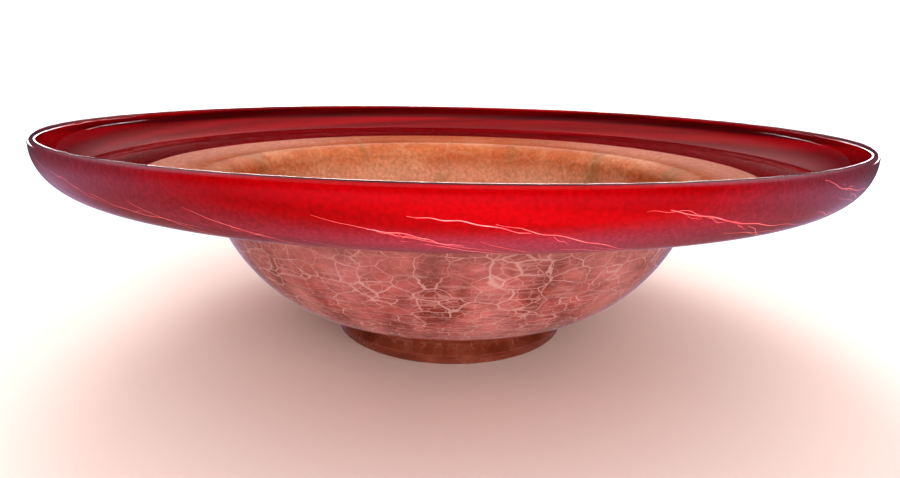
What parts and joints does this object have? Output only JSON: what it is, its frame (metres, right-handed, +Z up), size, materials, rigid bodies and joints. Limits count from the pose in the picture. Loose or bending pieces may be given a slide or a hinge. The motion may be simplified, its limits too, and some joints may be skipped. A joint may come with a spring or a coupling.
{
  "type": "wide-brimmed glass bowl",
  "caption": "Wide-brimmed centrepiece bowl of cased art glass, with a crackled amber well, an upturned ruby rim band and an applied ring foot.",
  "frame": {"origin": "centre of the foot's ground ring, on the surface the bowl stands on", "axes": "+Z up along the bowl's axis of revolution; X and Y are interchangeable"},
  "size_m": [0.38, 0.38, 0.11],
  "materials": {
    "lining_glass": "clear, fire-polished",
    "amber_ground": "translucent, granular powder colour",
    "crackle_glass": "translucent, with a pale crackle network",
    "ruby_glass": "clear ruby",
    "casing_glass": "clear, fire-polished",
    "foot_glass": "clear brown, ground flat underneath"
  },
  "bodies": {
    "root": {"inner_lining": "lining_glass", "colour_ground_layer": "amber_ground", "crackle_layer": "crackle_glass", "ruby_rim_layer": "ruby_glass", "outer_casing": "casing_glass", "foot_ring": "foot_glass"}
  },
  "joints": []
}
